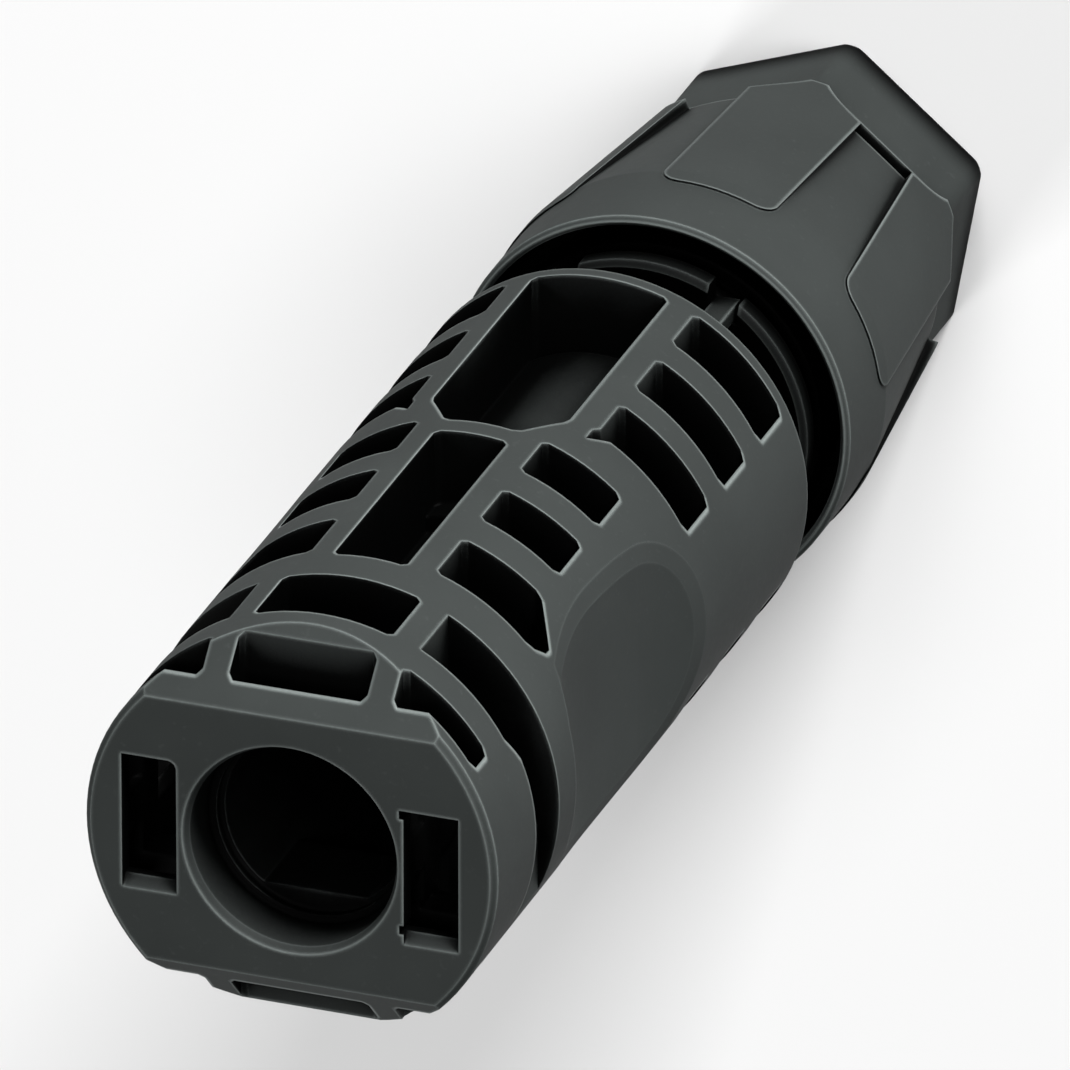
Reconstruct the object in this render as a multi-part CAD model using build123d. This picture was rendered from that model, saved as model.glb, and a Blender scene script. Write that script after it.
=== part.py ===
from build123d import *
import math
import os

os.makedirs("parts", exist_ok=True)

# Field-wired solar panel connector, the half that carries the contact pin.
# Each piece is drawn lying along Y: the mating face is at y = 0 and the cable leaves towards +Y.
# The ramps and the large openings lie above and below, the latch windows left and right.
# On its side the connector rolls, so every piece is stood up at the end: the nut is at the bottom.
# All lengths are in millimetres.

PAST = 1.0                # how far a cutter reaches past the surface that it opens
EDGE_BREAK = 0.3          # bevel of small moulded edges

# Housing
BODY_R = 10.15            # outside radius of the housing
BODY_LENGTH = 43.0        # mating face to the housing's rear edge
FACE_HALF_HEIGHT = 6.8    # half height of the mating face between its two flats
BELLY_Z = 9.55            # flat under the front ring, between the wide webs
REAR_BREAK = 0.25         # bevel round the housing's rear edge
RAMP_ANGLE = 45.0         # slope of the ramps above and below the mating face
FRONT_TUBE_R = 5.55       # outside radius of the socket tube between the latch windows
REAR_TUBE_R = 6.4         # outside radius of the inner tube behind the socket
REAR_TUBE_Y = 23.0        # where the inner tube steps up
REAR_TUBE_END = 1.55      # the tube steps down again this far before the rear edge
REAR_TUBE_STEP = 0.35
MID_WALL = 2.2            # thickness of the level wall that joins inner tube and flanks
CORNER_CUT = 0.25         # slanted corners of the openings

# Mating socket
SOCKET_R = 5.1            # bore at the mating face
SOCKET_MOUTH_BREAK = 0.22 # bevel of the bore's mouth
RING_R = 4.75             # first narrowing
RING_Y = 2.95
KEY_R = 4.5               # second narrowing, with the keying flat
KEY_Y = 3.4
KEY_LENGTH = 4.5
KEY_FLAT_Z = -3.7
SOCKET_DEPTH = 24.0

# Openings above and below: half widths and lengths along the axis
WIDE_HALF = 3.4           # half width of the openings between the wide webs
NARROW_HALF = 1.8         # half width of the long opening between the narrow webs
WEB = 1.3                 # thickness of the lengthways webs
RAMP_OPENING = (1.0, 2.75)
SHORT_OPENING = (4.45, 8.45)
LONG_OPENING = (10.65, 24.35)
LARGE_OPENING = (25.6, 42.0)
LARGE_SHOULDER_Y = 28.2   # where the large opening reaches its full width

# Side pockets: each is open above and below, between two ribs
FLANK_X = 9.1             # outer end of the pockets near the rear
GRIP_POCKET_X = 6.95      # outer end of the pockets beside the finger grip
REAR_POCKET_FRONT = 28.6
REAR_POCKET_PITCH = 5.1
REAR_POCKET_LENGTH = 3.2
REAR_POCKETS = 3
GRIP_POCKET_FRONT = 17.05
GRIP_POCKET_PITCH = 5.38
GRIP_POCKET_LENGTH = 3.23
GRIP_POCKETS = 2
CORNER_NOTCH = 0.9        # slanted notch at the inner front corner of the first rear pocket
SLANT_POCKET = (11.15, 14.8)
SLANT_POCKET_X = 8.35     # outermost point of the pocket with the slanted end
SLANT_CUT = (0.6, 1.0)    # bevel that makes this point, across and along
LATCH_POCKET = (4.76, 8.45)
LATCH_RING_REAR = 5.4     # rear edge of the front ring beside the side slot
LATCH_SLOT_HALF = 4.75    # half height of the side slot
FACE_POCKET_X = 8.7       # outer end of the small pockets beside the ramps

# Latch windows in the mating face
WINDOW_INNER_X = 5.6
WINDOW_OUTER_X = 8.3
WINDOW_HEIGHT = 6.4
WINDOW_LEFT_Z = 0.42
WINDOW_RIGHT_Z = -0.17
WINDOW_SILL = 0.5         # bevel under each window
WINDOW_NOTCH = 0.22       # small square relief at the right window's inner corners
WINDOW_CORNER_R = 0.45    # rounded inner top corner of the left window

# Finger grips in the flanks
GRIP_FRONT_Y = 11.3
GRIP_REAR_Y = 28.1
GRIP_FLOOR_X = 8.3
GRIP_STATIONS = (0.04, 0.24, 0.45, 0.6, 0.74, 0.89)  # where its line bends, as shares of its length
GRIP_SHOULDER = 0.6       # how far the floor has risen at its front end
GRIP_RISE = 0.85          # how far it has risen where it runs out to the rear
GRIP_WAVE = 0.1           # height of the shallow wave between them
GRIP_RIM_BREAK = 0.5      # wide bevel along the rim of the grip

# Insert: tube inside the housing and threaded neck behind it
FIT = 0.05                # clearance of every close fit between moulded pieces
INSERT_R = 5.4
INSERT_CHAMBER_R = 4.4    # bore that holds contact and spring
INSERT_WALL = 2.2         # thickness of the front wall that carries the pin
SEAL_GROOVE_R = 4.75
SEAL_SET_BACK = 3.5       # socket's rear end to the seal's groove
SEAL_GROOVE_Y = SOCKET_DEPTH + SEAL_SET_BACK
SEAL_GROOVE_LENGTH = 1.3
NECK_R = 6.9
NECK_LENGTH = 4.7         # bare neck between housing and collar
COLLAR_Y = BODY_LENGTH + NECK_LENGTH
COLLAR_LENGTH = 1.2
THREAD_R = 8.28
THREAD_ROOT_R = 7.4
THREAD_GAP = 1.0          # collar to the thread's start
THREAD_START = COLLAR_Y + COLLAR_LENGTH + THREAD_GAP
THREAD_LENGTH = 6.0
THREAD_END = THREAD_START + THREAD_LENGTH
KEY_TAB_LENGTH = 5.6      # tabs of the housing that reach into the collar's slots
KEY_TAB_WIDTH = 1.2
KEY_TAB_HEIGHT = 0.75
KEY_TAB_PLAY = 0.15
KEY_TAB_LOW = 6.0         # height of the tabs' inner faces above and below the axis
KEY_TAB_ROOT = 0.5        # how far a tab reaches back into the housing

# Contact
PIN_R = 2.0
PIN_TIP_Y = 11.5
PIN_CAP_LENGTH = 2.0
CAP_NOSE_R = 1.1
CAP_NOSE_LENGTH = 1.1
PIN_CAP_STEM = 1.5        # how far the cap's stud reaches into the pin
PIN_NECK_R = 1.7          # narrower root of the pin, which passes through the insert's front wall
PIN_NECK_LENGTH = 1.0     # length of that root in front of the wall
PIN_FLANGE_R = 3.3
PIN_FLANGE_LENGTH = 1.2
BAR_LENGTH = 13.0
BAR_WIDTH = 5.2
BAR_HEIGHT = 6.0
BAR_THICKNESS = 0.8
SPRING_WIDTH = 3.4
SPRING_THICKNESS = 0.5
SPRING_START = 2.0        # front wall of the channel to the spring's upper end
SPRING_TURN = 4.5         # channel's rear end to the start of the spring's turn
SPRING_HOOK = 1.5         # how far the turn reaches back
SPRING_TIP = 3.0          # front wall of the channel to the spring's pressing end
SPRING_DROP = 3.6         # height between the spring's two ends
SPRING_BEND_R = 0.8

# Cable gland
CAGE_R = 5.9
CAGE_WALL = 0.9
CAGE_BORE_R = 4.0
CAGE_TAPER = (0.5, 1.0)   # bevel of the fingers' ends, across and along
CAGE_SET_FORWARD = 0.7    # how far the cage reaches in front of the collar
CAGE_LENGTH = 13.5
CAGE_START = COLLAR_Y - CAGE_SET_FORWARD
CAGE_END = CAGE_START + CAGE_LENGTH
CAGE_FINGERS = 6
FINGER_LENGTH = 4.3
FINGER_GAP = 0.8
SEAL_LENGTH = 8.0
CABLE_R = 3.6             # bore of the seal, for a cable of about 7 mm
CABLE_LEAD = 0.7          # bevel that leads the cable in

# Union nut
NUT_GAP = 5.8             # housing's rear edge to the nut's skirt, as backed off
SKIRT_R = 10.05
SKIRT_INNER_R = 9.55
PAD_START = 4.4           # skirt's front edge to the start of the raised pads
PAD_CORNER_R = 1.0
NUT_LENGTH = 24.75
NUT_THREAD_OFFSET = 4.2   # skirt's front edge to the start of the thread bore
NUT_THREAD_LENGTH = 8.5
NUT_SEAT_R = 6.2
NUT_BORE_R = 4.4          # hole that the cable leaves by
NUT_REAR_WALL = 2.9
PAD_MIDDLE_R = 9.5        # radius halfway along the raised pads, which bulge a little
PAD_REAR_R = 8.75         # radius at the rear end of the raised pads
RECESS_REAR_R = 8.3       # radius at the rear end of the recesses between pads
RECESS_START = 5.35       # skirt's front edge to the start of the recesses' slope
RECESS_FRONT_HALF = 2.4
RECESS_REAR_HALF = 1.55
HEX_FLATS = 15.0          # wrench size
HEX_CORNER_R = 1.1
HEX_STEP = 60.0           # degrees from one flat to the next
HEX_START = 19.85         # skirt's front edge to the start of the hexagon
HEX_TURN = 50.0           # direction of one flat, in degrees from +X
LENS_DEPTH = 2.4          # how far the pocket before each flat reaches forward
LENS_FLOOR = 6.75         # distance of that pocket's floor from the axis
RING_LENGTH = 1.5
RING_BORE_R = 4.6


def rod(radius, start, end):
    """Solid cylinder about Y from one station to another."""
    blank = Cylinder(radius, end - start, align=(Align.CENTER, Align.CENTER, Align.MIN))
    return Pos(0, start, 0) * Rot(-90, 0, 0) * blank


def turned(*points):
    """Solid of revolution about Y from (radius, station) points."""
    return revolve(make_face(Polyline(*points, close=True)), Axis.Y)


def block(x_low, x_high, y_low, y_high, z_low, z_high):
    """Box between two values on each axis."""
    middle = Pos((x_low + x_high) / 2, (y_low + y_high) / 2, (z_low + z_high) / 2)
    return middle * Box(x_high - x_low, y_high - y_low, z_high - z_low)


def prism(outline, low, high, cut=0.0):
    """Upright prism over a plan outline, with its corners cut."""
    face = make_face(Polyline(*outline, close=True))
    if cut > 0:
        face = chamfer(face.vertices(), cut)
    return Pos(0, 0, low) * extrude(face, high - low)


def mirrored_pair(solid):
    """A solid and its mirror image across the plane x = 0."""
    return [solid, mirror(solid, Plane.YZ)]


def top_opening(front, rear, half):
    """Prism for an opening between two ribs, symmetrical about x = 0."""
    outline = [(-half, front), (half, front), (half, rear), (-half, rear)]
    return prism(outline, -2 * BODY_R, 2 * BODY_R, CORNER_CUT)


def side_pocket(inner, outer, front, rear):
    """Prism for a pocket beside the webs, on the right-hand side."""
    outline = [(inner, front), (outer, front), (outer, rear), (inner, rear)]
    return prism(outline, -2 * BODY_R, 2 * BODY_R, CORNER_CUT)


def face_disc():
    """Housing blank: cylinder with ramps that fall to the mating face's flats."""
    blank = turned(
        (0, 0),
        (BODY_R - EDGE_BREAK, 0),
        (BODY_R, EDGE_BREAK),
        (BODY_R, BODY_LENGTH - REAR_BREAK),
        (BODY_R - REAR_BREAK, BODY_LENGTH),
        (0, BODY_LENGTH),
    )
    reach = 2 * BODY_R
    rise = reach * math.tan(math.radians(RAMP_ANGLE))
    side = [(0, FACE_HALF_HEIGHT), (reach, FACE_HALF_HEIGHT + rise), (0, FACE_HALF_HEIGHT + rise)]
    face = Plane.YZ * make_face(Polyline(*side, close=True))
    wedge = extrude(face, reach, both=True)
    return blank - wedge - mirror(wedge, Plane.XY)


def lattice_cutters():
    """Upright prisms for every opening of the lattice, above and below at once."""
    large = [
        (-NARROW_HALF, LARGE_OPENING[0]),
        (NARROW_HALF, LARGE_OPENING[0]),
        (WIDE_HALF, LARGE_SHOULDER_Y),
        (WIDE_HALF, LARGE_OPENING[1]),
        (-WIDE_HALF, LARGE_OPENING[1]),
        (-WIDE_HALF, LARGE_SHOULDER_Y),
    ]
    cutters = [
        prism(large, -2 * BODY_R, 2 * BODY_R, CORNER_CUT),
        top_opening(*LONG_OPENING, NARROW_HALF),
        top_opening(*SHORT_OPENING, WIDE_HALF),
        top_opening(*RAMP_OPENING, WIDE_HALF),
    ]
    wide_web = WIDE_HALF + WEB
    narrow_web = NARROW_HALF + WEB
    for number in range(REAR_POCKETS):
        front = REAR_POCKET_FRONT + number * REAR_POCKET_PITCH
        cutters += mirrored_pair(side_pocket(wide_web, FLANK_X, front, front + REAR_POCKET_LENGTH))
    for number in range(GRIP_POCKETS):
        front = GRIP_POCKET_FRONT + number * GRIP_POCKET_PITCH
        rear = front + GRIP_POCKET_LENGTH
        cutters += mirrored_pair(side_pocket(narrow_web, GRIP_POCKET_X, front, rear))
    slanted = [
        (narrow_web, SLANT_POCKET[0]),
        (SLANT_POCKET_X - SLANT_CUT[0], SLANT_POCKET[0]),
        (SLANT_POCKET_X, SLANT_POCKET[0] + SLANT_CUT[1]),
        (GRIP_POCKET_X, SLANT_POCKET[1]),
        (narrow_web, SLANT_POCKET[1]),
    ]
    cutters += mirrored_pair(prism(slanted, -2 * BODY_R, 2 * BODY_R, CORNER_CUT))
    notch = [
        (wide_web - CORNER_CUT, REAR_POCKET_FRONT - CORNER_NOTCH),
        (wide_web + CORNER_NOTCH, REAR_POCKET_FRONT + CORNER_CUT),
        (wide_web + CORNER_CUT, REAR_POCKET_FRONT + CORNER_NOTCH),
        (wide_web - CORNER_CUT, REAR_POCKET_FRONT),
    ]
    cutters += mirrored_pair(prism(notch, -2 * BODY_R, 2 * BODY_R))
    cutters += mirrored_pair(side_pocket(wide_web, FACE_POCKET_X, *RAMP_OPENING))
    return cutters


def grip_cutter():
    """Upright prism that hollows the right-hand finger grip in a shallow wave."""
    outside = BODY_R + PAST
    length = GRIP_REAR_Y - GRIP_FRONT_Y
    rises = (GRIP_SHOULDER, 0, -GRIP_WAVE, 0, 2 * GRIP_WAVE, GRIP_RISE)
    points = [
        (GRIP_FLOOR_X + rise, GRIP_FRONT_Y + share * length)
        for share, rise in zip(GRIP_STATIONS, rises)
    ]
    front_end, dip, middle, swell, waist, climb = points
    floor = [
        ThreePointArc(front_end, dip, middle),
        ThreePointArc(middle, swell, waist),
        ThreePointArc(waist, climb, (BODY_R, GRIP_REAR_Y)),
    ]
    edges = Polyline(
        (BODY_R, GRIP_REAR_Y),
        (outside, GRIP_REAR_Y),
        (outside, GRIP_FRONT_Y),
        (BODY_R, GRIP_FRONT_Y),
        front_end,
    )
    face = make_face([*floor, edges])
    return Pos(0, 0, -BODY_R) * extrude(face, 2 * BODY_R)


def gripped_blank():
    """Housing blank with both finger grips, each with a wide bevel round its rim and floor."""
    blank = face_disc() - mirrored_pair(grip_cutter())
    edges = blank.edges().filter_by_position(Axis.Y, GRIP_FRONT_Y, GRIP_REAR_Y)
    return chamfer(edges, GRIP_RIM_BREAK)


def latch_windows():
    """Upright windows in the mating face for the other half's latches, with bevelled sills."""
    rear = LATCH_POCKET[1] - WINDOW_SILL
    cutters = []
    for side, middle in ((-1, WINDOW_LEFT_Z), (1, WINDOW_RIGHT_Z)):
        left, right = sorted((side * WINDOW_INNER_X, side * WINDOW_OUTER_X))
        low = middle - WINDOW_HEIGHT / 2
        high = middle + WINDOW_HEIGHT / 2
        window = block(left, right, -PAST, rear, low, high)
        if side < 0:
            inner_top = window.edges().filter_by(Axis.Y).sort_by(Axis((0, 0, 0), (1, 0, 1)))[-1]
            window = fillet(inner_top, WINDOW_CORNER_R)
        else:
            window += block(left - WINDOW_NOTCH, left, -PAST, rear / 2, low, low + 2 * WINDOW_NOTCH)
            window += block(left - WINDOW_NOTCH, left, -PAST, rear / 2, high - 2 * WINDOW_NOTCH, high)
        sill = [(0, low - WINDOW_SILL), (WINDOW_SILL, low), (0, low)]
        bevel = extrude(Plane.YZ * make_face(Polyline(*sill, close=True)), right - left)
        cutters += [window, Pos(left, 0, 0) * bevel]
    return cutters


def housing():
    """One moulding: mating face, socket tube, lattice, flanks and finger grips."""
    half_wall = MID_WALL / 2
    body = gripped_blank()
    step = BODY_LENGTH - REAR_TUBE_END
    tube = rod(FRONT_TUBE_R, 0, REAR_TUBE_Y) + rod(REAR_TUBE_R, REAR_TUBE_Y, step)
    tube = tube + rod(REAR_TUBE_R - REAR_TUBE_STEP, REAR_TUBE_Y, BODY_LENGTH)
    level = block(-BODY_R, BODY_R, 0, BODY_LENGTH, -half_wall, half_wall)
    kept = tube + level
    pockets = [cutter - kept for cutter in lattice_cutters()]
    body = body - pockets

    wide_web = WIDE_HALF + WEB
    latch = [
        (wide_web, LATCH_POCKET[0]),
        (FLANK_X - EDGE_BREAK, LATCH_POCKET[0]),
        (FLANK_X + EDGE_BREAK, LATCH_RING_REAR),
        (FLANK_X + EDGE_BREAK, LATCH_POCKET[1]),
        (wide_web, LATCH_POCKET[1]),
    ]
    screen = block(WINDOW_OUTER_X, FLANK_X, *LATCH_POCKET, -2 * BODY_R, -half_wall)
    latch_space = prism(latch, -2 * BODY_R, 2 * BODY_R) - tube - screen
    body = body - mirrored_pair(latch_space)
    body = body - (top_opening(*SHORT_OPENING, WIDE_HALF) - tube)
    side_slot = block(
        FLANK_X, BODY_R + PAST, LATCH_RING_REAR, LATCH_POCKET[1], -LATCH_SLOT_HALF, LATCH_SLOT_HALF
    )
    body = body - mirrored_pair(side_slot)
    belly = block(
        -WIDE_HALF, WIDE_HALF, RAMP_OPENING[1], SHORT_OPENING[0], -2 * BODY_R, -BELLY_Z
    )
    body = body - belly - latch_windows()

    bore = turned(
        (0, -PAST),
        (SOCKET_R + SOCKET_MOUTH_BREAK, -PAST),
        (SOCKET_R + SOCKET_MOUTH_BREAK, 0),
        (SOCKET_R, 2 * SOCKET_MOUTH_BREAK),
        (SOCKET_R, RING_Y),
        (RING_R, RING_Y),
        (RING_R, KEY_Y),
        (0, KEY_Y),
    )
    keyed = rod(KEY_R, KEY_Y, KEY_Y + KEY_LENGTH)
    keyed = keyed - block(-KEY_R, KEY_R, 0, KEY_Y + KEY_LENGTH, -2 * KEY_R, KEY_FLAT_Z)
    socket = rod(KEY_R, KEY_Y + KEY_LENGTH, SOCKET_DEPTH + PAST)
    seat = rod(INSERT_R, SOCKET_DEPTH, BODY_LENGTH + PAST)
    body = body - bore - keyed - socket - seat

    for side in (-1, 1):
        middle = side * (WIDE_HALF + WEB / 2)
        for low in (KEY_TAB_LOW, -KEY_TAB_LOW - KEY_TAB_HEIGHT):
            body = body + block(
                middle - KEY_TAB_WIDTH / 2,
                middle + KEY_TAB_WIDTH / 2,
                BODY_LENGTH - KEY_TAB_ROOT,
                BODY_LENGTH + KEY_TAB_LENGTH,
                low,
                low + KEY_TAB_HEIGHT,
            )
    return body


def insert_body():
    """Moulded tube inside the housing, with the slotted collar and thread behind it."""
    front = SOCKET_DEPTH + FIT
    outer_r = INSERT_R - FIT
    cage_seat = CAGE_R + FIT
    body = turned(
        (0, front),
        (outer_r, front),
        (outer_r, BODY_LENGTH + FIT),
        (NECK_R, BODY_LENGTH + FIT),
        (NECK_R, COLLAR_Y),
        (THREAD_R - EDGE_BREAK, COLLAR_Y),
        (THREAD_R, COLLAR_Y + EDGE_BREAK),
        (THREAD_R, COLLAR_Y + COLLAR_LENGTH),
        (THREAD_ROOT_R, COLLAR_Y + COLLAR_LENGTH),
        (THREAD_ROOT_R, THREAD_START),
        (THREAD_R, THREAD_START),
        (THREAD_R, THREAD_END),
        (0, THREAD_END),
    )
    groove = turned(
        (SEAL_GROOVE_R, SEAL_GROOVE_Y),
        (outer_r + PAST, SEAL_GROOVE_Y),
        (outer_r + PAST, SEAL_GROOVE_Y + SEAL_GROOVE_LENGTH),
        (SEAL_GROOVE_R, SEAL_GROOVE_Y + SEAL_GROOVE_LENGTH),
    )
    chamber = rod(INSERT_CHAMBER_R, front + INSERT_WALL, CAGE_START)
    cage_room = rod(cage_seat, CAGE_START, THREAD_END + PAST)
    pin_hole = rod(PIN_NECK_R, front - PAST, front + INSERT_WALL + PAST)
    body = body - groove - chamber - cage_room - pin_hole
    for side in (-1, 1):
        middle = side * (WIDE_HALF + WEB / 2)
        half = KEY_TAB_WIDTH / 2 + KEY_TAB_PLAY
        low = KEY_TAB_LOW - KEY_TAB_PLAY
        for sign in (-1, 1):
            levels = sorted((sign * low, sign * (BODY_R + PAST)))
            body = body - block(
                middle - half, middle + half, BODY_LENGTH - PAST, COLLAR_Y + COLLAR_LENGTH, *levels
            )
    return body


def insert_seal():
    """Flat rubber ring in the insert's groove."""
    outer_r = INSERT_R - FIT
    front = SEAL_GROOVE_Y + FIT
    rear = SEAL_GROOVE_Y + SEAL_GROOVE_LENGTH - FIT
    return turned((SEAL_GROOVE_R, front), (outer_r, front), (outer_r, rear), (SEAL_GROOVE_R, rear))


def contact_pin():
    """Turned pin with a flange behind the insert's front wall."""
    wall_rear = SOCKET_DEPTH + FIT + INSERT_WALL
    stem_r = PIN_R / 2
    cap_end = PIN_TIP_Y + PIN_CAP_LENGTH
    return turned(
        (0, cap_end - PIN_CAP_STEM),
        (stem_r, cap_end - PIN_CAP_STEM),
        (stem_r, cap_end),
        (PIN_R, cap_end),
        (PIN_R, SOCKET_DEPTH - PIN_NECK_LENGTH),
        (PIN_NECK_R, SOCKET_DEPTH - PIN_NECK_LENGTH),
        (PIN_NECK_R, wall_rear),
        (PIN_FLANGE_R, wall_rear),
        (PIN_FLANGE_R, wall_rear + PIN_FLANGE_LENGTH),
        (0, wall_rear + PIN_FLANGE_LENGTH),
    )


def pin_tip_cap():
    """Insulating cap over the pin's tip."""
    cap_end = PIN_TIP_Y + PIN_CAP_LENGTH
    stem_r = PIN_R / 2
    cap = turned(
        (0, PIN_TIP_Y),
        (CAP_NOSE_R, PIN_TIP_Y),
        ((CAP_NOSE_R + PIN_R) / 2, PIN_TIP_Y + CAP_NOSE_LENGTH / 3),
        (PIN_R, PIN_TIP_Y + CAP_NOSE_LENGTH),
        (PIN_R, cap_end),
        (0, cap_end),
    )
    return cap - rod(stem_r, cap_end - PIN_CAP_STEM, cap_end + PAST)


def current_bar():
    """Bent channel behind the pin's flange that the wire is pressed against."""
    front = SOCKET_DEPTH + FIT + INSERT_WALL + PIN_FLANGE_LENGTH
    rear = front + BAR_LENGTH
    half = BAR_WIDTH / 2
    top = BAR_HEIGHT / 2
    channel = block(-half, half, front, rear, -top, top)
    inside = half - BAR_THICKNESS
    floor = BAR_THICKNESS - top
    return channel - block(-inside, inside, front + BAR_THICKNESS, rear + PAST, floor, top + PAST)


def clamp_spring():
    """Bent leaf that hooks over the channel and presses down on the wire."""
    front = SOCKET_DEPTH + FIT + INSERT_WALL + PIN_FLANGE_LENGTH + BAR_THICKNESS
    top = BAR_HEIGHT / 2 - SPRING_THICKNESS
    turn = front + BAR_LENGTH - SPRING_TURN
    path = Polyline(
        (front + SPRING_START, top),
        (turn, top),
        (turn + SPRING_HOOK, top - SPRING_DROP / 3),
        (front + SPRING_TIP, top - SPRING_DROP),
    )
    path = fillet(path.vertices()[1:-1], SPRING_BEND_R)
    leaf = trace(path, line_width=SPRING_THICKNESS)
    return extrude(Plane.YZ * leaf, SPRING_WIDTH / 2, both=True)


def clamping_cage():
    """Moulded sleeve whose rear end is slotted into fingers."""
    inner_r = CAGE_R - CAGE_WALL
    sleeve = turned(
        (CAGE_BORE_R, CAGE_START),
        (CAGE_R, CAGE_START),
        (CAGE_R, CAGE_END - CAGE_TAPER[1]),
        (CAGE_R - CAGE_TAPER[0], CAGE_END),
        (inner_r, CAGE_END),
        (inner_r, CAGE_START + CAGE_WALL),
        (CAGE_BORE_R, CAGE_START + CAGE_WALL),
    )
    slot = block(-FINGER_GAP / 2, FINGER_GAP / 2, CAGE_END - FINGER_LENGTH, CAGE_END + PAST, 0, CAGE_R + PAST)
    slots = [Rot(0, number * 360 / CAGE_FINGERS, 0) * slot for number in range(CAGE_FINGERS)]
    return sleeve - slots


def cable_seal():
    """Rubber bush with a bellmouth towards the cable."""
    start = CAGE_START + CAGE_WALL + FIT
    end = start + SEAL_LENGTH
    outer_r = CAGE_R - CAGE_WALL - FIT
    return turned(
        (CABLE_R, start),
        (outer_r, start),
        (outer_r, end),
        (CABLE_R + CABLE_LEAD, end),
        (CABLE_R, end - CABLE_LEAD),
    )


def thrust_ring():
    """Slip ring behind the cage: it travels with the nut and does not turn."""
    rear = nut_front() + NUT_LENGTH - NUT_REAR_WALL - FIT
    front = rear - RING_LENGTH
    outer_r = NUT_SEAT_R - FIT
    return turned(
        (outer_r, front),
        (outer_r, rear),
        (RING_BORE_R, rear),
        (RING_BORE_R, front + CABLE_LEAD),
        (RING_BORE_R + CABLE_LEAD, front),
    )


def nut_front():
    """Station of the union nut's front edge."""
    return BODY_LENGTH + NUT_GAP


def flat_planes():
    """One plane through the axis for each flat, facing out, with Y as its own Y."""
    planes = []
    for number in range(6):
        angle = math.radians(HEX_TURN + HEX_STEP * number)
        outward = (math.cos(angle), 0, math.sin(angle))
        across = (math.sin(angle), 0, -math.cos(angle))
        planes.append(Plane(origin=(0, 0, 0), x_dir=across, z_dir=outward))
    return planes


def union_nut():
    """Moulded nut: round skirt, six raised pads, and a hexagon with a pocket before each flat."""
    front = nut_front()
    rear = front + NUT_LENGTH
    hex_front = front + HEX_START
    slope = front + RECESS_START
    core = turned(
        (0, front),
        (SKIRT_R - EDGE_BREAK, front),
        (SKIRT_R, front + EDGE_BREAK),
        (SKIRT_R, slope),
        (RECESS_REAR_R, hex_front - LENS_DEPTH / 2),
        (RECESS_REAR_R, hex_front),
        (0, hex_front),
    )
    pad_front = front + PAD_START
    middle = (pad_front + hex_front) / 2
    pad_ring = turned(
        (RECESS_REAR_R - PAST, pad_front),
        (BODY_R, pad_front),
        (BODY_R, pad_front + PAD_CORNER_R),
        (PAD_MIDDLE_R, middle),
        (PAD_REAR_R, hex_front),
        (RECESS_REAR_R - PAST, hex_front),
    )
    hexagon = RegularPolygon(HEX_FLATS / 2, 6, major_radius=False)
    hexagon = fillet(hexagon.vertices(), HEX_CORNER_R)
    turn = Rot(0, HEX_STEP / 2 - HEX_TURN, 0) * Pos(0, hex_front, 0) * Rot(-90, 0, 0)
    head = (turn * extrude(hexagon, NUT_LENGTH)) & turned(
        (0, hex_front),
        (PAD_REAR_R, hex_front),
        (PAD_REAR_R, rear - EDGE_BREAK),
        (PAD_REAR_R - EDGE_BREAK, rear),
        (0, rear),
    )

    flare = RECESS_FRONT_HALF + 2 * PAD_CORNER_R
    outline = Polyline(
        (-flare, pad_front - PAST),
        (flare, pad_front - PAST),
        (flare, pad_front),
        (RECESS_FRONT_HALF, pad_front),
        (RECESS_REAR_HALF, hex_front + PAST),
        (-RECESS_REAR_HALF, hex_front + PAST),
        (-RECESS_FRONT_HALF, pad_front),
        (-flare, pad_front),
        close=True,
    )
    recess = make_face(outline)
    inner_corners = [
        corner for corner in recess.vertices() if math.isclose(abs(corner.X), RECESS_FRONT_HALF)
    ]
    recess = fillet(inner_corners, PAD_CORNER_R)
    chord = HEX_FLATS / 2 * math.tan(math.radians(HEX_STEP / 2)) - HEX_CORNER_R / 3
    lens_r = (chord**2 + LENS_DEPTH**2) / (2 * LENS_DEPTH)
    recesses = [extrude(plane * recess, 2 * BODY_R) for plane in flat_planes()]
    body = core + (pad_ring - recesses) + head
    for plane in flat_planes():
        circle = Pos(0, hex_front - LENS_DEPTH + lens_r) * Circle(lens_r)
        before = Pos(0, hex_front - BODY_R) * Rectangle(4 * BODY_R, 2 * BODY_R)
        lens = extrude(plane * (circle & before), 2 * BODY_R)
        body = body - (lens - lens_floor(plane))

    thread_r = THREAD_R + FIT
    thread_front = front + NUT_THREAD_OFFSET
    thread_rear = thread_front + NUT_THREAD_LENGTH
    seat_front = thread_rear + (thread_r - NUT_SEAT_R)
    wall_front = rear - NUT_REAR_WALL
    inside = turned(
        (0, front - PAST),
        (SKIRT_INNER_R + EDGE_BREAK, front - PAST),
        (SKIRT_INNER_R + EDGE_BREAK, front),
        (SKIRT_INNER_R, front + EDGE_BREAK),
        (SKIRT_INNER_R, thread_front),
        (thread_r, thread_front),
        (thread_r, thread_rear),
        (NUT_SEAT_R, seat_front),
        (NUT_SEAT_R, wall_front),
        (NUT_BORE_R, wall_front),
        (NUT_BORE_R, rear - EDGE_BREAK),
        (NUT_BORE_R + EDGE_BREAK, rear),
        (NUT_BORE_R + EDGE_BREAK, rear + PAST),
        (0, rear + PAST),
    )
    return body - inside


def lens_floor(plane):
    """Slab that keeps the wall of the nut below the floor of a flat's pocket."""
    return extrude(plane * Rectangle(6 * BODY_R, 20 * BODY_R), LENS_FLOOR)


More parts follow.
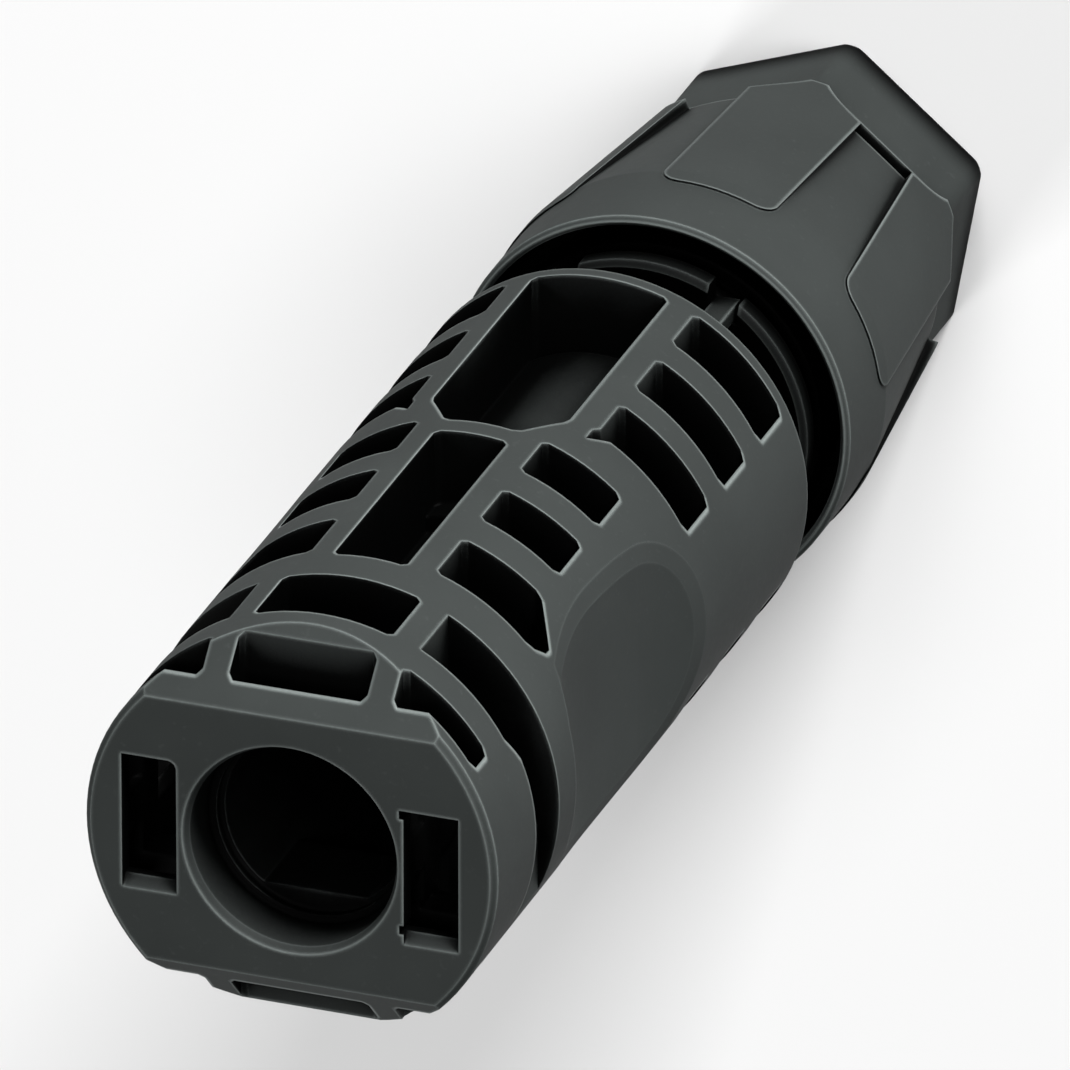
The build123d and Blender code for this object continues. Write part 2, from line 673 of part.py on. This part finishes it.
PARTS = {
    "housing": housing,
    "insert_body": insert_body,
    "insert_seal": insert_seal,
    "contact_pin": contact_pin,
    "pin_tip_cap": pin_tip_cap,
    "current_bar": current_bar,
    "clamp_spring": clamp_spring,
    "clamping_cage": clamping_cage,
    "cable_seal": cable_seal,
    "thrust_ring": thrust_ring,
    "union_nut": union_nut,
}


def stood_up(shape):
    """Turn a piece from the lying frame to the upright one, with the nut's rear face at z = 0."""
    total = nut_front() + NUT_LENGTH
    return Pos(0, 0, total) * Rot(0, 0, 180) * Rot(-90, 0, 0) * shape


if __name__ == "__main__":
    for name, make in PARTS.items():
        export_step(stood_up(make()), f"parts/{name}.step")
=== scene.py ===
"""Looks of a solar panel connector: moulded plastic, rubber, tinned contact, floor, light and camera.

The connector's own solids carry every form, so each keeps its mesh and gets a finish. They stand on
the nut's rear end, in metres, with the mating face up. Colours are linear, and lengths on the object
are written in millimetres.
"""

import logging
from dataclasses import dataclass, fields
from enum import Enum
from typing import Any, List, Mapping, Optional, Sequence, Tuple, Union

import bmesh
import bpy
from mathutils import Matrix, Vector


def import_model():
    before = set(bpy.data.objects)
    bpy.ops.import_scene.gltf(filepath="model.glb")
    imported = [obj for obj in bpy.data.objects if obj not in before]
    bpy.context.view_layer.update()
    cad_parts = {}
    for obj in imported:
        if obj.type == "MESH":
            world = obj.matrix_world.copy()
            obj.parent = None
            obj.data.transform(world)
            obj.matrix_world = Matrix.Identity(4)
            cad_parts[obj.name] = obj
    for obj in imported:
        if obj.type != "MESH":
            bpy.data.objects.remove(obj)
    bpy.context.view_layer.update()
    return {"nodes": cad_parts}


log = logging.getLogger("connector")

Colour = Tuple[float, float, float]
Point = Tuple[float, float, float]
Range = Tuple[float, float]

MM = 0.001
MID_NOISE = 0.5  # level round which every noise swings
NOISE_ROUGHNESS = 0.55

# Sockets of the Mix node that carry colours
MIX_FIRST = 6
MIX_SECOND = 7
MIX_RESULT = 2

OUTER_PLASTIC: Colour = (0.0245, 0.0275, 0.0267)
# Painted shade: a darker copy of the outer plastic, for the parts that sit deep inside the housing.
SHADED_PLASTIC: Colour = (0.009, 0.0101, 0.0098)


class Value:
    """A number that flows through the shader: arithmetic on it adds Math nodes."""

    def __init__(self, bench: "NodeBench", socket: bpy.types.NodeSocket) -> None:
        """Wrap a socket.

        Args:
            bench: The node bench that adds the nodes.
            socket: The output socket that carries the number.
        """
        self.bench = bench
        self.socket = socket

    def _math(self, operation: str, first: Any, second: Any = 0.0, clamp: bool = False) -> "Value":
        """Add one Math node.

        Args:
            operation: Name of the Math node's operation.
            first: First operand, a Value or a number.
            second: Second operand, a Value or a number.
            clamp: Whether the result stays between 0 and 1.

        Returns:
            The node's result.
        """
        settings = {"operation": operation, "use_clamp": clamp}
        return self.bench.add("ShaderNodeMath", settings, {0: first, 1: second}).value("Value")

    def __add__(self, other: Any) -> "Value":
        """Sum with another value or number."""
        return self._math("ADD", self, other)

    def __radd__(self, other: Any) -> "Value":
        """Sum with a number on the left."""
        return self._math("ADD", other, self)

    def __sub__(self, other: Any) -> "Value":
        """Difference with another value or number."""
        return self._math("SUBTRACT", self, other)

    def __rsub__(self, other: Any) -> "Value":
        """Difference from a number on the left."""
        return self._math("SUBTRACT", other, self)

    def __mul__(self, other: Any) -> "Value":
        """Product with another value or number."""
        return self._math("MULTIPLY", self, other)

    def __rmul__(self, other: Any) -> "Value":
        """Product with a number on the left."""
        return self._math("MULTIPLY", other, self)

    def clamped(self) -> "Value":
        """The value held between 0 and 1."""
        return self._math("ADD", self, 0.0, clamp=True)

    def ramp(self, span: Range) -> "Value":
        """Rise from 0 to 1 between two levels, held flat outside them.

        Args:
            span: Level that becomes 0 and level that becomes 1.

        Returns:
            The remapped value.
        """
        low, high = span
        return self._math("MULTIPLY", self - low, 1.0 / (high - low), clamp=True)


Link = Union[float, Sequence[float], Value, bpy.types.NodeSocket]


class Part:
    """A node on the bench, read by the names of its outputs."""

    def __init__(self, bench: "NodeBench", node: bpy.types.Node) -> None:
        """Keep a node.

        Args:
            bench: The bench that the node is on.
            node: The shader node.
        """
        self.bench = bench
        self.node = node

    def value(self, output: Union[str, int]) -> Value:
        """The output of that name as a number for arithmetic."""
        return Value(self.bench, self.node.outputs[output])

    def out(self, output: Union[str, int]) -> bpy.types.NodeSocket:
        """The output of that name as a socket."""
        return self.node.outputs[output]


class NodeBench:
    """Where the nodes of a material or of the world are put together."""

    def __init__(self, tree: bpy.types.NodeTree) -> None:
        """Start with an empty tree.

        Args:
            tree: The material's or the world's node tree.
        """
        self.tree = tree
        tree.nodes.clear()

    def add(
        self,
        kind: str,
        settings: Optional[Mapping[str, Any]] = None,
        inputs: Optional[Mapping[Union[str, int], Link]] = None,
    ) -> Part:
        """Add one node, set it up and feed it.

        Args:
            kind: The node's Blender type.
            settings: Properties of the node, which are set first.
            inputs: Values or links for its sockets, by name or number.

        Returns:
            The node, wrapped.
        """
        node = self.tree.nodes.new(kind)
        for name, setting in (settings or {}).items():
            setattr(node, name, setting)
        for name, given in (inputs or {}).items():
            self._feed(node.inputs[name], given)
        return Part(self, node)

    def _feed(self, socket: bpy.types.NodeSocket, given: Link) -> None:
        """Link or set one input socket.

        Args:
            socket: The input.
            given: A wrapped value, a socket, a number or a colour.
        """
        if isinstance(given, Value):
            self.tree.links.new(given.socket, socket)
        elif isinstance(given, bpy.types.NodeSocket):
            self.tree.links.new(given, socket)
        else:
            socket.default_value = given

    def mix_colour(self, factor: Link, first: Link, second: Link) -> bpy.types.NodeSocket:
        """Blend two colours.

        Args:
            factor: 0 for the first, 1 for the second.
            first: Colour with alpha, or a socket.
            second: Colour with alpha, or a socket.

        Returns:
            The blended colour's socket.
        """
        inputs = {"Factor": factor, MIX_FIRST: first, MIX_SECOND: second}
        return self.add("ShaderNodeMix", {"data_type": "RGBA"}, inputs).out(MIX_RESULT)

    def place(self) -> bpy.types.NodeSocket:
        """The shaded point's place on the object, in metres."""
        return self.add("ShaderNodeTexCoord").out("Object")

    def noise(self, place: bpy.types.NodeSocket, scale: float, detail: float) -> Value:
        """Smooth random value over space.

        Args:
            place: Coordinates in metres.
            scale: Cells per metre.
            detail: Number of finer layers.

        Returns:
            A value that swings round MID_NOISE.
        """
        inputs = {"Vector": place, "Scale": scale, "Detail": detail, "Roughness": NOISE_ROUGHNESS}
        return self.add("ShaderNodeTexNoise", None, inputs).value("Fac")

    def bump(self, height: Value, depth: float, normal: Optional[Link] = None) -> bpy.types.NodeSocket:
        """Raise a relief on the surface.

        Args:
            height: Height of the relief, 0 to 1.
            depth: What a height of 1 measures, in metres.
            normal: The normal that it starts from, or None for the mesh's own.

        Returns:
            The changed normal.
        """
        inputs = {"Distance": depth, "Height": height}
        if normal is not None:
            inputs["Normal"] = normal
        return self.add("ShaderNodeBump", None, inputs).out("Normal")

    def cover(self, inputs: Mapping[Union[str, int], Link]) -> None:
        """Put the surface shader on and end the tree.

        Args:
            inputs: Values or links for the shader's sockets.
        """
        shader = self.add("ShaderNodeBsdfPrincipled", None, inputs).out("BSDF")
        self.add("ShaderNodeOutputMaterial", None, {"Surface": shader})


def new_material(name: str) -> Tuple[bpy.types.Material, NodeBench]:
    """Make a material without nodes.

    Args:
        name: Name of the material.

    Returns:
        The material and the bench for its nodes.
    """
    made = bpy.data.materials.new(name)
    made.use_nodes = True
    return made, NodeBench(made.node_tree)


def opaque(colour: Colour, gain: float = 1.0) -> Tuple[float, float, float, float]:
    """A colour with full alpha, brightened or darkened by a gain."""
    return (colour[0] * gain, colour[1] * gain, colour[2] * gain, 1.0)


@dataclass(frozen=True)
class MouldedPlastic:
    """Black satin polyamide as it leaves the mould.

    Edges are slightly rounded and paler by a painted highlight, deep openings go black by painted shade,
    the melt's flow changes the tone a little, and spark-eroded moulds leave a fine grain. A gain
    multiplies the plastic's own colour, and a range gives the levels between which a mark fades in.
    """

    name: str
    colour: Colour
    roughness: float = 0.55
    specular: float = 0.02
    edge_radius: float = 0.3 * MM
    edge_samples: int = 6
    edge_range: Range = (0.004, 0.14)
    # Painted highlight: how much paler the rounded edges are painted, and how strongly.
    edge_gain: float = 6.6
    edge_share: float = 0.8
    edge_polish: float = 0.08
    # Painted shade: how far the occlusion looks, and how dark the deep openings are painted.
    hollow_reach: float = 8.0 * MM
    hollow_samples: int = 8
    hollow_range: Range = (0.6, 0.97)
    hollow_gain: float = 0.02
    flow_per_metre: float = 90.0
    flow_range: Range = (0.3, 0.7)
    flow_gains: Range = (0.86, 1.12)
    flow_swing: float = 0.12
    speckle_per_metre: float = 2600.0
    speckle_range: Range = (0.62, 0.8)
    speckle_gain: float = 1.7
    speckle_share: float = 0.35
    speckle_swing: float = 0.1
    grain_per_metre: float = 5200.0
    grain_height: float = 0.003 * MM

    def material(self) -> bpy.types.Material:
        """Build the material.

        Returns:
            A new node material.
        """
        made, bench = new_material(self.name)
        place = bench.place()
        flow = bench.noise(place, self.flow_per_metre, detail=3.0)
        speckle = bench.noise(place, self.speckle_per_metre, detail=2.0)
        grain = bench.noise(place, self.grain_per_metre, detail=3.0)

        rounding = bench.add("ShaderNodeBevel", {"samples": self.edge_samples}, {"Radius": self.edge_radius})
        rounded = rounding.out("Normal")
        true = bench.add("ShaderNodeNewGeometry").out("Normal")
        agreement = bench.add("ShaderNodeVectorMath", {"operation": "DOT_PRODUCT"}, {0: rounded, 1: true})
        edge = (1.0 - agreement.value("Value")).ramp(self.edge_range)
        # Painted shade: ambient occlusion darkens the colour of deep openings towards black.
        open_air = bench.add(
            "ShaderNodeAmbientOcclusion",
            {"samples": self.hollow_samples},
            {"Distance": self.hollow_reach, "Normal": true},
        ).value("AO")
        painted_hollow_shade = 1.0 - open_air.ramp(self.hollow_range)

        darkest, palest = (opaque(self.colour, gain) for gain in self.flow_gains)
        body = bench.mix_colour(flow.ramp(self.flow_range), darkest, palest)
        flecks = speckle.ramp(self.speckle_range) * self.speckle_share
        flecked = bench.mix_colour(flecks, body, opaque(self.colour, self.speckle_gain))
        # Painted highlight: rounded edges are lightened in colour, as if they caught the light.
        edge_highlighted = bench.mix_colour(edge * self.edge_share, flecked, opaque(self.colour, self.edge_gain))
        shown = bench.mix_colour(painted_hollow_shade, edge_highlighted, opaque(self.colour, self.hollow_gain))
        roughness = (
            self.roughness
            + self.flow_swing * (flow - MID_NOISE)
            + self.speckle_swing * (speckle - MID_NOISE)
            - self.edge_polish * edge
        )
        bench.cover(
            {
                "Base Color": shown,
                "Roughness": roughness.clamped(),
                "Specular IOR Level": self.specular,
                "Normal": bench.bump(grain, self.grain_height, rounded),
            }
        )
        return made


@dataclass(frozen=True)
class SealRubber:
    """Matt black silicone with a dry bloom."""

    name: str
    colour: Colour
    roughness: float = 0.78
    specular: float = 0.25
    bloom_per_metre: float = 400.0
    bloom_range: Range = (0.4, 0.75)
    bloom_gain: float = 1.9
    bloom_swing: float = 0.15
    skin_per_metre: float = 6000.0
    skin_height: float = 0.003 * MM

    def material(self) -> bpy.types.Material:
        """Build the material.

        Returns:
            A new node material.
        """
        made, bench = new_material(self.name)
        place = bench.place()
        bloom = bench.noise(place, self.bloom_per_metre, detail=4.0)
        skin = bench.noise(place, self.skin_per_metre, detail=2.0)
        dusted = opaque(self.colour, self.bloom_gain)
        bench.cover(
            {
                "Base Color": bench.mix_colour(bloom.ramp(self.bloom_range), opaque(self.colour), dusted),
                "Roughness": (self.roughness + self.bloom_swing * (bloom - MID_NOISE)).clamped(),
                "Specular IOR Level": self.specular,
                "Normal": bench.bump(skin, self.skin_height),
            }
        )
        return made


class Working(Enum):
    """How a metal piece was worked, as the marks' cells per metre along x, y and z."""

    TURNED = (40.0, 40.0, 9000.0)
    ROLLED = (5000.0, 5000.0, 120.0)


@dataclass(frozen=True)
class BareMetal:
    """Tinned copper or spring steel with the marks of its making."""

    name: str
    colour: Colour
    roughness: float
    working: Working
    cloud_per_metre: float = 900.0
    cloud_range: Range = (0.35, 0.7)
    cloud_gain: float = 0.8
    cloud_swing: float = 0.15
    mark_height: float = 0.002 * MM

    def material(self) -> bpy.types.Material:
        """Build the material.

        Returns:
            A new node material.
        """
        made, bench = new_material(self.name)
        place = bench.place()
        stretch = {"Vector": place, "Scale": self.working.value}
        drawn = bench.add("ShaderNodeMapping", None, stretch).out("Vector")
        marks = bench.noise(drawn, 1.0, detail=2.0)
        cloud = bench.noise(place, self.cloud_per_metre, detail=3.0)
        dull = opaque(self.colour, self.cloud_gain)
        bench.cover(
            {
                "Base Color": bench.mix_colour(cloud.ramp(self.cloud_range), dull, opaque(self.colour)),
                "Metallic": 1.0,
                "Roughness": (self.roughness + self.cloud_swing * (cloud - MID_NOISE)).clamped(),
                "Normal": bench.bump(marks, self.mark_height),
            }
        )
        return made


@dataclass(frozen=True)
class SubAssembly:
    """Pieces that belong together: each field has a piece's name and holds its finish."""

    def dress(self, nodes: Mapping[str, bpy.types.Object]) -> None:
        """Give every piece its material.

        Args:
            nodes: The frame's objects by node name.
        """
        for piece in fields(self):
            finish = getattr(self, piece.name)
            slots = nodes[piece.name].data.materials
            slots.clear()
            slots.append(finish.material())
            log.info("%s: %s is dressed in %s", type(self).__name__, piece.name, finish.name)


@dataclass(frozen=True)
class Body(SubAssembly):
    """The ribbed housing with its socket, and the insert whose neck carries the nut."""

    housing: MouldedPlastic = MouldedPlastic("housing_plastic", OUTER_PLASTIC)
    # The insert takes the darker plastic as painted shade, with a stronger painted highlight on its edges.
    insert_body: MouldedPlastic = MouldedPlastic("insert_plastic", SHADED_PLASTIC, edge_gain=11.0)
    insert_seal: SealRubber = SealRubber("insert_seal_rubber", (0.012, 0.012, 0.012))


@dataclass(frozen=True)
class Contact(SubAssembly):
    """The pin with its tip cap, and the frame and spring that clamp the wire."""

    contact_pin: BareMetal = BareMetal("tinned_pin", (0.74, 0.73, 0.7), 0.24, Working.TURNED)
    pin_tip_cap: MouldedPlastic = MouldedPlastic("tip_cap_plastic", OUTER_PLASTIC)
    current_bar: BareMetal = BareMetal("tinned_bar", (0.72, 0.71, 0.68), 0.34, Working.ROLLED)
    clamp_spring: BareMetal = BareMetal("spring_steel", (0.5, 0.5, 0.51), 0.3, Working.ROLLED)


@dataclass(frozen=True)
class CableGland(SubAssembly):
    """Cage, bush and slip ring that the nut squeezes round the cable, and the nut itself.

    The nut stands on the floor and has only shallow pockets, so its painted shade looks for hollows nearby
    only.
    """

    # The cage and ring take the darker plastic, as painted shade for parts deep inside.
    clamping_cage: MouldedPlastic = MouldedPlastic("cage_plastic", SHADED_PLASTIC)
    cable_seal: SealRubber = SealRubber("bush_rubber", (0.014, 0.014, 0.014))
    thrust_ring: MouldedPlastic = MouldedPlastic("ring_plastic", SHADED_PLASTIC)
    union_nut: MouldedPlastic = MouldedPlastic("nut_plastic", OUTER_PLASTIC, hollow_reach=2.0 * MM)


@dataclass(frozen=True)
class Lamp:
    """A square soft lamp; its size and place are in metres."""

    name: str
    place: Point
    size: float
    watts: float

    def hang(self, target: Point) -> None:
        """Add the lamp to the scene.

        Args:
            target: The point that it looks at.
        """
        light = bpy.data.lights.new(self.name, "AREA")
        light.size = self.size
        light.energy = self.watts
        holder = bpy.data.objects.new(self.name, light)
        holder.location = self.place
        aim = Vector(target) - Vector(self.place)
        holder.rotation_euler = aim.to_track_quat("-Z", "Y").to_euler()
        bpy.context.collection.objects.link(holder)
        log.info("studio: lamp %s is hung", self.name)


@dataclass(frozen=True)
class Camera:
    """Long lens at the photograph's viewing angle, with its three axes as directions."""

    place: Point = (-0.402, -0.586, 1.1373)
    right: Point = (-0.938994, 0.000499, -0.343933)
    up: Point = (0.153639, -0.894068, -0.420757)
    back: Point = (-0.307709, -0.44793, 0.839448)
    lens_mm: float = 932.3
    sensor_mm: float = 36.0
    near: float = 0.1
    far: float = 10.0

    def set_up(self) -> None:
        """Put the camera in its place and look through it."""
        data = bpy.data.cameras.new("camera")
        data.lens = self.lens_mm
        data.sensor_width = self.sensor_mm
        data.clip_start = self.near
        data.clip_end = self.far
        holder = bpy.data.objects.new("camera", data)
        turn = Matrix((self.right, self.up, self.back)).transposed()
        holder.matrix_world = Matrix.Translation(self.place) @ turn.to_4x4()
        bpy.context.collection.objects.link(holder)
        bpy.context.scene.camera = holder
        log.info("studio: camera is placed")


@dataclass(frozen=True)
class Studio:
    """Pale floor and soft light. The key lamp stands low, so that the upright flanks are shaded."""

    floor_reach: float = 6.0
    floor_colour: Colour = (0.68, 0.68, 0.68)
    air_colour: Colour = (1.0, 1.0, 1.0)
    air_strength: float = 0.06
    target: Point = (0.0, 0.0, 0.035)
    lamps: Tuple[Lamp, ...] = (
        Lamp("key", (-0.34, -0.76, 0.2), size=0.2, watts=17.0),
        Lamp("top", (-0.2, -0.3, 1.3), size=0.4, watts=12.0),
        Lamp("back", (0.5, 0.66, 0.25), size=0.3, watts=6.0),
    )
    camera: Camera = Camera()

    def set_up(self) -> None:
        """Lay the floor, fill the air with light, hang the lamps and place the camera."""
        self._lay_floor()
        self._light_air()
        for lamp in self.lamps:
            lamp.hang(self.target)
        self.camera.set_up()

    def _lay_floor(self) -> None:
        """Lay one matt square under the connector."""
        shape = bmesh.new()
        bmesh.ops.create_grid(shape, x_segments=1, y_segments=1, size=self.floor_reach / 2.0)
        mesh = bpy.data.meshes.new("floor")
        shape.to_mesh(mesh)
        shape.free()
        plane = bpy.data.objects.new("floor", mesh)
        bpy.context.collection.objects.link(plane)
        made, bench = new_material("pale_floor")
        matt = bench.add("ShaderNodeBsdfDiffuse", None, {"Color": opaque(self.floor_colour)}).out("BSDF")
        bench.add("ShaderNodeOutputMaterial", None, {"Surface": matt})
        mesh.materials.append(made)
        log.info("studio: floor is laid")

    def _light_air(self) -> None:
        """Give the world an even, weak light."""
        world = bpy.data.worlds.new("studio_air")
        world.use_nodes = True
        bench = NodeBench(world.node_tree)
        inputs = {"Color": opaque(self.air_colour), "Strength": self.air_strength}
        air = bench.add("ShaderNodeBackground", None, inputs).out("Background")
        bench.add("ShaderNodeOutputWorld", None, {"Surface": air})
        bpy.context.scene.world = world


def main() -> None:
    """Dress the frame and set the studio."""
    logging.basicConfig(level=logging.INFO, format="%(name)s: %(message)s")
    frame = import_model()
    for assembly in (Body(), Contact(), CableGland()):
        assembly.dress(frame["nodes"])
    Studio().set_up()
    bpy.context.scene.view_settings.view_transform = "Standard"


if __name__ == "__main__":
    main()
